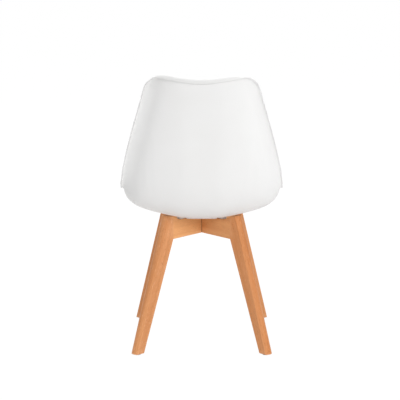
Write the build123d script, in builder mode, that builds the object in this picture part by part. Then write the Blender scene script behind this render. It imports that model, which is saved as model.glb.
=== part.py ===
from build123d import *

import os
from math import atan2, comb, cos, hypot, pi, radians, sin, tan

# Dining chair: a one-piece moulded shell with a rolled rim, bolted to two beech frames that
# cross under the seat, and a padded cushion in the seat. Millimetres, +Z up, the sitter faces
# -Y, and the origin is on the floor under the point where the frames cross.

# ---- beech frames
CROSS_ANGLE = 45.0  # plan angle of the frames from the X axis
FRAME_THICKNESS = 27.0
RAIL_BOTTOM = 324.0  # above the floor
RAIL_HEIGHT = 54.0  # in the middle, where the top is flat and carries the shell
SEAT_REACH = 104.0  # from the crossing to where the rail's top starts to rise
JOINT_REACH = 130.0  # from the crossing to the joint between rail and leg
JOINT_RISE = 13.5  # height of the wood at that joint, above the flat top
HEAD_SLOPE = 13.0  # slope of the leg's sawn top
FOOT_INNER = 251.0  # from the crossing to the inner edge of the foot, at the floor
FOOT_OUTER = 276.5  # the same to the creases of the outer edge
OUTER_AT_RAIL = 172.5  # those creases, level with the bottom of the rail
LEG_NOSE = 6.5  # how far the rounded outer edge stands out from its creases
LEG_EDGE_RADIUS = 1.5
LAP_CLEARANCE = 0.15

# ---- dowels
DOWEL_DIAMETER = 10.0
DOWEL_LENGTH = 36.0
DOWEL_CLEARANCE = 0.1
DOWEL_END_ROOM = 1.5
DOWEL_EDGE = 16.0  # centre of the lower dowel above the bottom of the rail
DOWEL_SPACING = 34.0

# ---- frame bolts, washers and inserts
BOLT_REACH = 90.0  # from the crossing to each bolt
BOLT_DIAMETER = 6.0
BOLT_CLEARANCE = 0.5
BOLT_TIP_ROOM = 1.5  # from the bolt's tip to the far end of the insert
BOLT_HEAD_DIAMETER = 10.0
BOLT_HEAD_HEIGHT = 6.0
HEX_KEY = 5.0
HEX_DEPTH = 3.0
COUNTERBORE_DEPTH = 22.0
COUNTERBORE_CLEARANCE = 0.75
WASHER_DIAMETER = 12.5
WASHER_THICKNESS = 1.6
WASHER_CLEARANCE = 0.2
LOCK_WASHER_DIAMETER = 11.0
LOCK_WASHER_THICKNESS = 1.5
LOCK_WASHER_SLIT = 1.2
INSERT_DIAMETER = 8.6
INSERT_LENGTH = 11.0
INSERT_SETBACK = 0.5
INSERT_CLEARANCE = 0.05

# ---- glides
GLIDE_DIAMETER = 20.0
GLIDE_THICKNESS = 3.0
NAIL_DIAMETER = 2.0
NAIL_LENGTH = 16.0
NAIL_HEAD_DIAMETER = 5.0
NAIL_HEAD_THICKNESS = 1.0
NAIL_SETBACK = 0.8
NAIL_CLEARANCE = 0.1

# ---- shell: centre line, from the crossing rearwards and up the back, and forwards
PLINTH_HEIGHT = 9.0  # below the shell's underside
SHELL_WALL = 4.0
BACK_LENGTH = 590.0  # along the centre line, from the crossing to the start of the rim
FRONT_LENGTH = 266.0
# Each turn of the centre line: where it starts, how long it takes, and its angle.
SEAT_TO_BACK = (60.0, 225.0, 81.5)
BACK_FLARE = (330.0, 260.0, -5.0)
SEAT_CLIMB = (50.0, 120.0, -17.0)
FRONT_ROLL = (170.0, 100.0, 30.0)

# ---- shell: cross sections, as values at places along the centre line
FLAT_HALF_WIDTH = 46.0  # the flat strip along the middle
HALF_WIDTHS = ((-266, 188), (-180, 206), (-60, 220), (60, 224), (130, 224.5), (300, 207), (600, 135))
EDGE_RISES = ((-266, 8), (-180, 46), (-60, 89), (60, 96), (130, 86), (200, 70), (300, 56), (600, 30))
WALL_ANGLES = ((-266, 30), (-180, 55), (-60, 74), (60, 78), (130, 80), (200, 58), (300, 42), (600, 28))
START_HANDLE = 0.14  # shares of the width or rise that shape the section's curve
MIDDLE_HANDLE = 0.71
MIDDLE_RISE = 0.31
CORNER_RISE = 0.305

# ---- shell: outline of the rim, in shares of the half width and lengths along the shell
EAR_WIDTH = 0.30
EAR_LENGTH = 36.0
TOP_DIP = 7.5
TOE_WIDTH = 0.55
TOE_LENGTH = 110.0
FRONT_BOW = 20.0
RIM_BREAKS = (0.0, 0.10, 0.17, 0.74, 0.90, 1.0)  # ends of the top, ear, side, toe and front
RIM_SECTIONS = (3, 3, 20, 6, 3)  # loft sections in each of those runs

# ---- shell: section of the rim, which flares out, rolls over and comes back as a skirt
FLARE_RADIUS = 24.0
FLARE_ANGLE = 24.0
ROLL_RADIUS = 3.6
ROLL_ANGLE = 200.0  # past a half turn, so the skirt closes in on the wall
SKIRT_LENGTH = 9.0

# ---- shell: ribbed plinth and bosses on the underside
PLINTH_WIDTH = 92.0
PLINTH_LENGTH = 140.0
PLINTH_CORNER = 8.0
PLINTH_WALL = 3.0
PLINTH_PROUD = 0.4  # above the inner face of the shell
RIB_THICKNESS = 2.4
POCKETS = (3, 4)  # across and along
BOSS_DIAMETER = 18.0
CORE_HALF_WIDTH = 30.0  # where the loft sections start, inside the plinth
CORE_HALF_LENGTH = 50.0

# ---- cushion and its board
BOARD_GAP = 0.8  # above the inner face of the shell
BOARD_THICKNESS = 3.0
BOARD_MARGIN = 26.0
CUSHION_GAP = 0.8  # above the board
CUSHION_THICKNESS = 30.0
CUSHION_FRONT = 244.0  # along the centre line, from the crossing
CUSHION_REAR = 150.0
CUSHION_WIDTH_SHARE = 0.80
CUSHION_SQUARENESS = 4.0
CUSHION_EDGE = 14.0
CUSHION_SECTIONS = 13

# ---- screws that hold the board
SCREW_DIAMETER = 3.5
SCREW_LENGTH = 7.6
SCREW_CLEARANCE = 0.15
SCREW_HEAD_DIAMETER = 7.0
SCREW_HEAD_HEIGHT = 2.4
SCREW_SPOT_MARGIN = 0.7  # of the flat spot under each head
SCREW_SIDE = 30.0
SCREW_FRONT = 104.0
SCREW_REAR = 96.0

# ---- heights that follow from those
RAIL_TOP = RAIL_BOTTOM + RAIL_HEIGHT
JOINT_TOP = RAIL_TOP + JOINT_RISE
LAP_HEIGHT = RAIL_BOTTOM + RAIL_HEIGHT / 2
BOLT_SEAT = RAIL_BOTTOM + COUNTERBORE_DEPTH
BOLT_HEAD_TOP = BOLT_SEAT - WASHER_THICKNESS - LOCK_WASHER_THICKNESS
INSERT_BOTTOM = RAIL_TOP + INSERT_SETBACK
INSERT_TOP = INSERT_BOTTOM + INSERT_LENGTH
BOLT_TIP = INSERT_TOP - BOLT_TIP_ROOM
SHELL_UNDERSIDE = RAIL_TOP + PLINTH_HEIGHT

os.makedirs("parts", exist_ok=True)


def write(piece, name):
    """Label a finished part and write it as one STEP file."""
    piece.part.label = name
    export_step(piece.part, f"parts/{name}.step")


# ================================================================ frames


def arm_plane(angle):
    """Horizontal plane at the floor, with X along the arm of the frame."""
    return Plane(origin=(0, 0, 0), x_dir=(cos(radians(angle)), sin(radians(angle)), 0), z_dir=(0, 0, 1))


def side_plane(angle):
    """Vertical plane through the middle of a frame: X along the arm, Y up."""
    return Plane(origin=(0, 0, 0), x_dir=(cos(radians(angle)), sin(radians(angle)), 0),
                 z_dir=(sin(radians(angle)), -cos(radians(angle)), 0))


REAR_LEFT, REAR_RIGHT = CROSS_ANGLE, 180 - CROSS_ANGLE
FRONT_RIGHT, FRONT_LEFT = 180 + CROSS_ANGLE, -CROSS_ANGLE
ARMS = (REAR_LEFT, REAR_RIGHT, FRONT_RIGHT, FRONT_LEFT)


def arm_points(reach):
    """Plan points at the same reach on all four arms."""
    return [(reach * cos(radians(angle)), reach * sin(radians(angle))) for angle in ARMS]


DOWEL_HEIGHTS = [RAIL_BOTTOM + DOWEL_EDGE + number * DOWEL_SPACING for number in range(2)]
DOWEL_HOLE_RADIUS = DOWEL_DIAMETER / 2 + DOWEL_CLEARANCE
DOWEL_HOLE_REACH = DOWEL_LENGTH / 2 + DOWEL_END_ROOM
FOOT_MIDDLE = (FOOT_INNER + FOOT_OUTER) / 2


def leg_edges(height):
    """Reach of the leg's inner edge and outer creases at a height."""
    share = height / RAIL_BOTTOM
    inner = FOOT_INNER + share * (JOINT_REACH - FOOT_INNER)
    outer = FOOT_OUTER + share * (OUTER_AT_RAIL - FOOT_OUTER)
    return inner, outer


def make_leg(angle):
    """A tapered, splayed leg with a rounded outer edge, cut to meet the rail and the shell."""
    half = FRAME_THICKNESS / 2
    above_head = JOINT_TOP + FRAME_THICKNESS
    arm = arm_plane(angle)
    joint = Plane(origin=arm.from_local_coords((JOINT_REACH, 0, 0)), z_dir=arm.x_dir)
    head_tilt = arm.from_local_coords(Vector(-sin(radians(HEAD_SLOPE)), 0, cos(radians(HEAD_SLOPE))))
    head = Plane(origin=arm.from_local_coords((JOINT_REACH, 0, JOINT_TOP)), z_dir=head_tilt)
    with BuildPart() as leg:
        for height in (GLIDE_THICKNESS, above_head):
            inner, outer = leg_edges(height)
            with BuildSketch(arm_plane(angle).offset(height)):
                with BuildLine():
                    Polyline((outer, -half), (inner, -half), (inner, half), (outer, half))
                    ThreePointArc((outer, half), (outer + LEG_NOSE, 0), (outer, -half))
                make_face()
        loft(ruled=True)
        split(bisect_by=joint, keep=Keep.TOP)
        split(bisect_by=head, keep=Keep.BOTTOM)
        long_edges = leg.edges().filter_by(lambda edge: edge.length > RAIL_BOTTOM / 2)
        inner_edges = long_edges.sort_by(lambda edge: hypot(edge.center().X, edge.center().Y))[:2]
        fillet(inner_edges, LEG_EDGE_RADIUS)
        with BuildSketch(joint):
            with Locations(*[joint.to_local_coords(joint.origin + Vector(0, 0, z)) for z in DOWEL_HEIGHTS]):
                Circle(DOWEL_HOLE_RADIUS)
        extrude(amount=DOWEL_HOLE_REACH, mode=Mode.SUBTRACT)
        with BuildSketch(arm_plane(angle).offset(GLIDE_THICKNESS)):
            with Locations((FOOT_MIDDLE, 0)):
                Circle(NAIL_DIAMETER / 2 + NAIL_CLEARANCE)
        extrude(amount=NAIL_LENGTH, mode=Mode.SUBTRACT)
    return leg


def make_rail(angle, notch_on_top):
    """A rail with a flat seat for the shell, rising ends, and a half-lap notch."""
    end = side_plane(angle)
    notch_width = FRAME_THICKNESS + 2 * LAP_CLEARANCE
    with BuildPart() as rail:
        with BuildSketch(end):
            with BuildLine():
                Polyline(
                    (-JOINT_REACH, RAIL_BOTTOM), (JOINT_REACH, RAIL_BOTTOM), (JOINT_REACH, JOINT_TOP),
                    (SEAT_REACH, RAIL_TOP), (-SEAT_REACH, RAIL_TOP), (-JOINT_REACH, JOINT_TOP), close=True,
                )
            make_face()
        extrude(amount=FRAME_THICKNESS / 2, both=True)
        bottom_edges = rail.faces().sort_by(Axis.Z)[0].edges().filter_by(
            lambda edge: edge.length > 2 * JOINT_REACH - 1
        )
        fillet(bottom_edges, LEG_EDGE_RADIUS)
        with BuildSketch(arm_plane(angle).offset(LAP_HEIGHT)):
            Rectangle(notch_width, 2 * FRAME_THICKNESS, rotation=90 - 2 * CROSS_ANGLE)
        if notch_on_top:
            extrude(amount=RAIL_HEIGHT, mode=Mode.SUBTRACT)
        else:
            extrude(amount=-RAIL_HEIGHT, mode=Mode.SUBTRACT)
        with BuildSketch(arm_plane(angle).offset(RAIL_BOTTOM)):
            with Locations((BOLT_REACH, 0), (-BOLT_REACH, 0)):
                Circle(BOLT_DIAMETER / 2 + BOLT_CLEARANCE)
        extrude(amount=RAIL_HEIGHT, mode=Mode.SUBTRACT)
        with BuildSketch(arm_plane(angle).offset(RAIL_BOTTOM)):
            with Locations((BOLT_REACH, 0), (-BOLT_REACH, 0)):
                Circle(WASHER_DIAMETER / 2 + COUNTERBORE_CLEARANCE)
        extrude(amount=COUNTERBORE_DEPTH, mode=Mode.SUBTRACT)
        for side in (1, -1):
            joint = Plane(origin=end.from_local_coords((side * JOINT_REACH, 0, 0)), z_dir=end.x_dir * -side)
            with BuildSketch(joint):
                with Locations(*[joint.to_local_coords(joint.origin + Vector(0, 0, z)) for z in DOWEL_HEIGHTS]):
                    Circle(DOWEL_HOLE_RADIUS)
            extrude(amount=DOWEL_HOLE_REACH, mode=Mode.SUBTRACT)
    return rail


write(make_leg(REAR_LEFT), "leg_rear_left")
write(make_leg(REAR_RIGHT), "leg_rear_right")
write(make_leg(FRONT_LEFT), "leg_front_left")
write(make_leg(FRONT_RIGHT), "leg_front_right")
write(make_rail(REAR_LEFT, notch_on_top=True), "cross_rail_lower")
write(make_rail(REAR_RIGHT, notch_on_top=False), "cross_rail_upper")

with BuildPart() as leg_dowels:
    for arm in ARMS:
        joint = Plane(origin=arm_plane(arm).from_local_coords((JOINT_REACH, 0, 0)), z_dir=arm_plane(arm).x_dir)
        with BuildSketch(joint):
            with Locations(*[joint.to_local_coords(joint.origin + Vector(0, 0, z)) for z in DOWEL_HEIGHTS]):
                Circle(DOWEL_DIAMETER / 2)
        extrude(amount=DOWEL_LENGTH / 2, both=True)
write(leg_dowels, "leg_dowels")


# ================================================================ shell form
# A point of the shell's middle surface is (u, w): w runs along the centre line from the
# crossing, negative forwards, and u runs across, from 0 in the middle to 1 where the rim starts.


def graph(points, place):
    """Value at a place on the smooth curve through (place, value) points."""
    place = min(points[-1][0], max(points[0][0], place))
    last = len(points) - 1
    here = max(number for number in range(last) if points[number][0] <= place)
    before, start, end, after = (points[min(last, max(0, here + shift))] for shift in (-1, 0, 1, 2))
    span = end[0] - start[0]
    t = (place - start[0]) / span
    leave = span * (end[1] - before[1]) / (end[0] - before[0])
    arrive = span * (after[1] - start[1]) / (after[0] - start[0])
    return (
        start[1] * (1 + 2 * t) * (1 - t) ** 2
        + leave * t * (1 - t) ** 2
        + end[1] * t**2 * (3 - 2 * t)
        - arrive * t**2 * (1 - t)
    )


def ease(share):
    """Smooth step from 0 to 1."""
    share = min(1.0, max(0.0, share))
    return share**2 * (3 - 2 * share)


def turned(distance, turn):
    start, length, angle = turn
    return radians(angle) * ease((distance - start) / length)


def slope(w):
    """Angle of the centre line from level."""
    if w < 0:
        return turned(-w, SEAT_CLIMB) + turned(-w, FRONT_ROLL)
    return turned(w, SEAT_TO_BACK) + turned(w, BACK_FLARE)


def make_centre_line(step=2.0, spare=30.0):
    """Points of the centre line by their number of steps from the crossing."""
    line = {0: (0.0, SHELL_UNDERSIDE + SHELL_WALL / 2)}
    for direction, length in ((1, BACK_LENGTH), (-1, FRONT_LENGTH)):
        for number in range(int((length + spare) / step)):
            y, z = line[direction * number]
            angle = slope(direction * (number + 0.5) * step)
            next_point = (y + direction * step * cos(angle), z + direction * step * sin(angle))
            line[direction * (number + 1)] = next_point
    return line, step


CENTRE_LINE, CENTRE_STEP = make_centre_line()


def centre_point(w):
    """Y and Z of the centre line."""
    number = int(w // CENTRE_STEP)
    share = w / CENTRE_STEP - number
    (start_y, start_z), (end_y, end_z) = CENTRE_LINE[number], CENTRE_LINE[number + 1]
    return start_y + share * (end_y - start_y), start_z + share * (end_z - start_z)


def cross_section(u, w):
    """Distance from the middle plane, and rise over the centre line."""
    half_width, rise = graph(HALF_WIDTHS, w), graph(EDGE_RISES, w)
    across = abs(u) * half_width
    if across <= FLAT_HALF_WIDTH:
        return u * half_width, 0.0
    span = half_width - FLAT_HALF_WIDTH
    corner_x = half_width - (1 - CORNER_RISE) * rise / tan(radians(graph(WALL_ANGLES, w)))
    handles = (
        (FLAT_HALF_WIDTH, 0.0),
        (FLAT_HALF_WIDTH + START_HANDLE * span, 0.0),
        (FLAT_HALF_WIDTH + MIDDLE_HANDLE * span, MIDDLE_RISE * rise),
        (corner_x, CORNER_RISE * rise),
        (half_width, rise),
    )
    t = (across - FLAT_HALF_WIDTH) / span
    weights = [comb(4, number) * t**number * (1 - t) ** (4 - number) for number in range(5)]
    x = sum(weight * handle[0] for weight, handle in zip(weights, handles))
    height = sum(weight * handle[1] for weight, handle in zip(weights, handles))
    return (x if u > 0 else -x), height


def form(u, w):
    """Point of the shell's middle surface."""
    x, height = cross_section(u, w)
    y, z = centre_point(w)
    return Vector(x, y - height * sin(slope(w)), z + height * cos(slope(w)))


def form_normal(u, w):
    """Unit normal of the middle surface, on the sitter's side."""
    across = form(u + 0.002, w) - form(u - 0.002, w)
    along = form(u, w + 0.5) - form(u, w - 0.5)
    return across.cross(along).normalized()


def rim_line(share):
    """(u, w) where the rim starts: share 0 is the middle of the top, 1 the middle of the front."""
    ear_end, toe_start = BACK_LENGTH - EAR_LENGTH, TOE_LENGTH - FRONT_LENGTH
    run = max(number for number in range(5) if RIM_BREAKS[number] <= min(share, 0.9999))
    part = (share - RIM_BREAKS[run]) / (RIM_BREAKS[run + 1] - RIM_BREAKS[run])
    turn = part * pi / 2
    if run == 0:
        u, w = part * (1 - EAR_WIDTH), BACK_LENGTH
    elif run == 1:
        u, w = 1 - EAR_WIDTH * (1 - sin(turn)), BACK_LENGTH - EAR_LENGTH * (1 - cos(turn))
    elif run == 2:
        u, w = 1.0, ear_end + part * (toe_start - ear_end)
    elif run == 3:
        u, w = 1 - TOE_WIDTH * (1 - cos(turn)), toe_start - TOE_LENGTH * sin(turn)
    else:
        u, w = (1 - part) * (1 - TOE_WIDTH), -FRONT_LENGTH
    if w > 0:
        return u, w - TOP_DIP * (1 - ease(u / 0.8)) * ease((w - ear_end) / 60 + 1)
    return u, w + FRONT_BOW * ease(u) * ease((toe_start - w) / 60 + 1)


def rim_point(share):
    """Point where the rim starts; shares past either end lie on the mirrored half."""
    if 0 <= share <= 1:
        return form(*rim_line(share))
    point = form(*rim_line(-share if share < 0 else 2 - share))
    return Vector(-point.X, point.Y, point.Z)


def rim_frame(share):
    """Start of the rim, and the directions outward in the surface and away from the sitter."""
    up = form_normal(*rim_line(share))
    along = rim_point(share + 0.002) - rim_point(share - 0.002)
    return rim_point(share), up.cross(along).normalized(), up * -1


def rim_profile(offset):
    """Outward and away distances of the rim's section: flare, roll and skirt."""
    flare, roll_end = radians(FLARE_ANGLE), radians(ROLL_ANGLE)
    points = []
    for angle in [flare * number / 4 for number in range(5)]:
        points.append((FLARE_RADIUS * sin(angle), FLARE_RADIUS * (1 - cos(angle)), angle))
    out, away, _ = points[-1]
    for angle in [flare + (roll_end - flare) * number / 8 for number in range(1, 9)]:
        points.append(
            (out + ROLL_RADIUS * (sin(angle) - sin(flare)), away + ROLL_RADIUS * (cos(flare) - cos(angle)), angle)
        )
    out, away, _ = points[-1]
    for length in (SKIRT_LENGTH / 2, SKIRT_LENGTH):
        points.append((out + length * cos(roll_end), away + length * sin(roll_end), roll_end))
    return [(out + offset * sin(angle), away - offset * cos(angle)) for out, away, angle in points]


def shell_section(share, steps=8):
    """Closed wire through the wall, from inside the plinth out to the rim and back."""
    rim_u, rim_w = rim_line(share)
    core_u = CORE_HALF_WIDTH / graph(HALF_WIDTHS, 0) * sin(share * pi)
    core_w = CORE_HALF_LENGTH * cos(share * pi)
    sitter_side, underside = [], []
    for part in [number / steps for number in range(steps)]:
        u, w = core_u + part * (rim_u - core_u), core_w + part * (rim_w - core_w)
        half_wall = form_normal(u, w) * (SHELL_WALL / 2)
        sitter_side.append(form(u, w) + half_wall)
        underside.append(form(u, w) - half_wall)
    start, outward, away = rim_frame(share)
    rim_top = [start + outward * a + away * b for a, b in rim_profile(SHELL_WALL / 2)]
    rim_under = [start + outward * a + away * b for a, b in rim_profile(-SHELL_WALL / 2)]
    with BuildLine() as section:
        Spline(*sitter_side, rim_top[0])
        Spline(*rim_top)
        Line(rim_top[-1], rim_under[-1])
        Spline(*reversed(rim_under))
        Spline(rim_under[0], *reversed(underside))
        Line(underside[0], sitter_side[0])
    return section.wires()[0]


def half_shell_sections():
    """Sections of one half, with two mirrored ones past each end so that it crosses the middle square."""
    shares = [0.0]
    for run, count in enumerate(RIM_SECTIONS):
        start, end = RIM_BREAKS[run], RIM_BREAKS[run + 1]
        shares += [start + (end - start) * number / count for number in range(1, count + 1)]
    half = [shell_section(share) for share in shares]
    past_top = [section.mirror(Plane.YZ) for section in (half[2], half[1])]
    past_front = [section.mirror(Plane.YZ) for section in (half[-2], half[-3])]
    return past_top + half + past_front


BOSS_POINTS = arm_points(BOLT_REACH)
SCREW_PLACES = [(side * SCREW_SIDE, w) for side in (1, -1) for w in (SCREW_REAR, -SCREW_FRONT)]


def surface_plane(x, w):
    """Plane on the shell's outer face, in the flat strip, with Z towards the sitter."""
    u = x / graph(HALF_WIDTHS, w)
    up = form_normal(u, w)
    return Plane(origin=form(u, w) - up * (SHELL_WALL / 2), x_dir=(1, 0, 0), z_dir=up)


with BuildPart() as seat_shell:
    add(Solid.make_loft(half_shell_sections()))
    split(bisect_by=Plane.YZ, keep=Keep.TOP)
    mirror(about=Plane.YZ)
    with BuildSketch(Plane.XY.offset(RAIL_TOP)):
        RectangleRounded(PLINTH_WIDTH, PLINTH_LENGTH, PLINTH_CORNER)
        for boss, arm in zip(BOSS_POINTS, ARMS):
            with Locations(boss):
                Circle(BOSS_DIAMETER / 2)
            with Locations(Location((boss[0] * 0.8, boss[1] * 0.8, 0), (0, 0, arm))):
                Rectangle(0.4 * BOLT_REACH, BOSS_DIAMETER)
    extrude(amount=PLINTH_HEIGHT + SHELL_WALL + PLINTH_PROUD)
    pocket_width = (PLINTH_WIDTH - 2 * PLINTH_WALL - (POCKETS[0] - 1) * RIB_THICKNESS) / POCKETS[0]
    pocket_length = (PLINTH_LENGTH - 2 * PLINTH_WALL - (POCKETS[1] - 1) * RIB_THICKNESS) / POCKETS[1]
    with BuildSketch(Plane.XY.offset(RAIL_TOP)):
        with GridLocations(pocket_width + RIB_THICKNESS, pocket_length + RIB_THICKNESS, *POCKETS):
            Rectangle(pocket_width, pocket_length)
    extrude(amount=PLINTH_HEIGHT, mode=Mode.SUBTRACT)
    with BuildSketch(Plane.XY.offset(RAIL_TOP)):
        with Locations(*BOSS_POINTS):
            Circle(INSERT_DIAMETER / 2)
    extrude(amount=INSERT_SETBACK + INSERT_LENGTH, mode=Mode.SUBTRACT)
    for place in SCREW_PLACES:
        with BuildSketch(surface_plane(*place)):
            Circle(SCREW_HEAD_DIAMETER / 2 + SCREW_SPOT_MARGIN)
        extrude(amount=-2 * SHELL_WALL, mode=Mode.SUBTRACT)
        with BuildSketch(surface_plane(*place)):
            Circle(SCREW_DIAMETER / 2 + SCREW_CLEARANCE)
        extrude(amount=2 * SHELL_WALL, both=True, mode=Mode.SUBTRACT)
write(seat_shell, "seat_shell")


# ================================================================ cushion, its board and screws


def section_plane(w):
    """Plane across the shell at w: X to the sitter's left, Y away from the centre line."""
    return Plane(origin=(0, *centre_point(w)), x_dir=(1, 0, 0), z_dir=(0, -cos(slope(w)), -sin(slope(w))))


def cushion_outline(part):
    """(w, half width) of the cushion, with part running from -1 at the front to 1 at the rear."""
    middle, half_length = (CUSHION_REAR - CUSHION_FRONT) / 2, (CUSHION_REAR + CUSHION_FRONT) / 2
    w = middle + part * half_length
    roundness = (1 - abs(part) ** CUSHION_SQUARENESS) ** (1 / CUSHION_SQUARENESS)
    return w, CUSHION_WIDTH_SHARE * graph(HALF_WIDTHS, w) * roundness


def lying_curve(w, half_width, edge_above, middle_above, points=21):
    """Points across the shell, left to right, at two heights above its inner face."""
    curve = []
    for number in range(points):
        share = 2 * number / (points - 1) - 1
        u = share * half_width / graph(HALF_WIDTHS, w)
        x, rise = cross_section(u, w)
        before, after = cross_section(u - 0.002, w), cross_section(u + 0.002, w)
        incline = atan2(after[1] - before[1], after[0] - before[0])
        height = SHELL_WALL / 2 + edge_above + (middle_above - edge_above) * (1 - abs(share) ** 3)
        curve.append((x - height * sin(incline), rise + height * cos(incline)))
    return curve


BOARD_ABOVE = BOARD_GAP + PLINTH_PROUD
CUSHION_ABOVE = BOARD_ABOVE + BOARD_THICKNESS + CUSHION_GAP
CUSHION_PARTS = [-0.97 * cos(pi * number / (CUSHION_SECTIONS - 1)) for number in range(CUSHION_SECTIONS)]

with BuildPart() as cushion_board:
    for part in CUSHION_PARTS:
        w, half_width = cushion_outline(part)
        w -= part * BOARD_MARGIN
        half_width -= BOARD_MARGIN
        lower = lying_curve(w, half_width, BOARD_ABOVE, BOARD_ABOVE)
        upper = lying_curve(w, half_width, CUSHION_ABOVE - CUSHION_GAP, CUSHION_ABOVE - CUSHION_GAP)
        with BuildSketch(section_plane(w)):
            with BuildLine():
                Spline(*lower)
                Line(lower[-1], upper[-1])
                Spline(*reversed(upper))
                Line(upper[0], lower[0])
            make_face()
    loft()
    for place in SCREW_PLACES:
        with BuildSketch(surface_plane(*place)):
            Circle(SCREW_DIAMETER / 2 + SCREW_CLEARANCE)
        extrude(amount=4 * SHELL_WALL, both=True, mode=Mode.SUBTRACT)
write(cushion_board, "cushion_board")

with BuildPart() as seat_cushion:
    for part in CUSHION_PARTS:
        w, half_width = cushion_outline(part)
        edge_above = CUSHION_ABOVE + CUSHION_EDGE
        middle_above = edge_above + (CUSHION_THICKNESS - CUSHION_EDGE) * (1 - abs(part) ** 3)
        lower = lying_curve(w, half_width, CUSHION_ABOVE, CUSHION_ABOVE)
        upper = lying_curve(w, half_width, edge_above, middle_above)
        with BuildSketch(section_plane(w)):
            with BuildLine():
                Spline(*lower)
                Line(lower[-1], upper[-1])
                Spline(*reversed(upper))
                Line(upper[0], lower[0])
            make_face()
    loft()
write(seat_cushion, "seat_cushion")

with BuildPart() as cushion_screws:
    for place in SCREW_PLACES:
        with BuildSketch(surface_plane(*place)):
            Circle(SCREW_DIAMETER / 2)
        extrude(amount=SCREW_LENGTH)
        with BuildSketch(surface_plane(*place).offset(-SCREW_HEAD_HEIGHT)):
            Circle(SCREW_HEAD_DIAMETER / 2)
        extrude(amount=SCREW_HEAD_HEIGHT)
write(cushion_screws, "cushion_screws")

# ================================================================ frame bolts, washers, inserts

with BuildPart() as frame_bolts:
    with BuildSketch(Plane.XY.offset(BOLT_HEAD_TOP)):
        with Locations(*BOSS_POINTS):
            Circle(BOLT_DIAMETER / 2)
    extrude(amount=BOLT_TIP - BOLT_HEAD_TOP)
    with BuildSketch(Plane.XY.offset(BOLT_HEAD_TOP)):
        with Locations(*BOSS_POINTS):
            Circle(BOLT_HEAD_DIAMETER / 2)
    extrude(amount=-BOLT_HEAD_HEIGHT)
    with BuildSketch(Plane.XY.offset(BOLT_HEAD_TOP - BOLT_HEAD_HEIGHT)):
        with Locations(*BOSS_POINTS):
            RegularPolygon(HEX_KEY / 2, 6, major_radius=False)
    extrude(amount=HEX_DEPTH, mode=Mode.SUBTRACT)
write(frame_bolts, "frame_bolts")

with BuildPart() as flat_washers:
    with BuildSketch(Plane.XY.offset(BOLT_SEAT)):
        with Locations(*BOSS_POINTS):
            Circle(WASHER_DIAMETER / 2)
            Circle(BOLT_DIAMETER / 2 + WASHER_CLEARANCE, mode=Mode.SUBTRACT)
    extrude(amount=-WASHER_THICKNESS)
write(flat_washers, "flat_washers")

with BuildPart() as lock_washers:
    with BuildSketch(Plane.XY.offset(BOLT_HEAD_TOP)):
        with Locations(*BOSS_POINTS):
            Circle(LOCK_WASHER_DIAMETER / 2)
            Circle(BOLT_DIAMETER / 2 + WASHER_CLEARANCE, mode=Mode.SUBTRACT)
        with Locations(*[(x + LOCK_WASHER_DIAMETER / 2, y) for x, y in BOSS_POINTS]):
            Rectangle(LOCK_WASHER_DIAMETER, LOCK_WASHER_SLIT, mode=Mode.SUBTRACT)
    extrude(amount=LOCK_WASHER_THICKNESS)
write(lock_washers, "lock_washers")

with BuildPart() as threaded_inserts:
    with BuildSketch(Plane.XY.offset(INSERT_BOTTOM)):
        with Locations(*BOSS_POINTS):
            Circle(INSERT_DIAMETER / 2)
            Circle(BOLT_DIAMETER / 2 + INSERT_CLEARANCE, mode=Mode.SUBTRACT)
    extrude(amount=INSERT_LENGTH)
write(threaded_inserts, "threaded_inserts")

# ================================================================ glides and their nails

FOOT_POINTS = arm_points(FOOT_MIDDLE)

with BuildPart() as foot_glides:
    with BuildSketch(Plane.XY):
        with Locations(*FOOT_POINTS):
            Circle(GLIDE_DIAMETER / 2)
    extrude(amount=GLIDE_THICKNESS)
    with BuildSketch(Plane.XY):
        with Locations(*FOOT_POINTS):
            Circle(NAIL_HEAD_DIAMETER / 2 + NAIL_CLEARANCE)
    extrude(amount=NAIL_SETBACK + NAIL_HEAD_THICKNESS, mode=Mode.SUBTRACT)
    with BuildSketch(Plane.XY):
        with Locations(*FOOT_POINTS):
            Circle(NAIL_DIAMETER / 2 + NAIL_CLEARANCE)
    extrude(amount=GLIDE_THICKNESS, mode=Mode.SUBTRACT)
write(foot_glides, "foot_glides")

with BuildPart() as glide_nails:
    with BuildSketch(Plane.XY.offset(NAIL_SETBACK)):
        with Locations(*FOOT_POINTS):
            Circle(NAIL_HEAD_DIAMETER / 2)
    extrude(amount=NAIL_HEAD_THICKNESS)
    with BuildSketch(Plane.XY.offset(NAIL_SETBACK)):
        with Locations(*FOOT_POINTS):
            Circle(NAIL_DIAMETER / 2)
    extrude(amount=NAIL_LENGTH)
write(glide_nails, "glide_nails")
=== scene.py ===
import math

import bmesh
import bpy
import numpy as np
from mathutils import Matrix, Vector
from mathutils.bvhtree import BVHTree


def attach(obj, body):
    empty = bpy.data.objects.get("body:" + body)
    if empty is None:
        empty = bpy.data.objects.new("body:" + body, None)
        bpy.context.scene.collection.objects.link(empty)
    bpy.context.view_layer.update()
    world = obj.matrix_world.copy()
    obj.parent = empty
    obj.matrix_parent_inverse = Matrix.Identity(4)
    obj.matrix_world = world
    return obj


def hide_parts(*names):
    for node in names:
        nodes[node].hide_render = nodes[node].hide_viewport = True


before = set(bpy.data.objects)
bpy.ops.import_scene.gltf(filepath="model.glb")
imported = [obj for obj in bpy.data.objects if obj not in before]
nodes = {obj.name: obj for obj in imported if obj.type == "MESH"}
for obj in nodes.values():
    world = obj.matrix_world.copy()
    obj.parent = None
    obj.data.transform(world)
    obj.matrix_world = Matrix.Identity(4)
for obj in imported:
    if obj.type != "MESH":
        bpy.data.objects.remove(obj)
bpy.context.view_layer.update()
scene = bpy.context.scene

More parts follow.
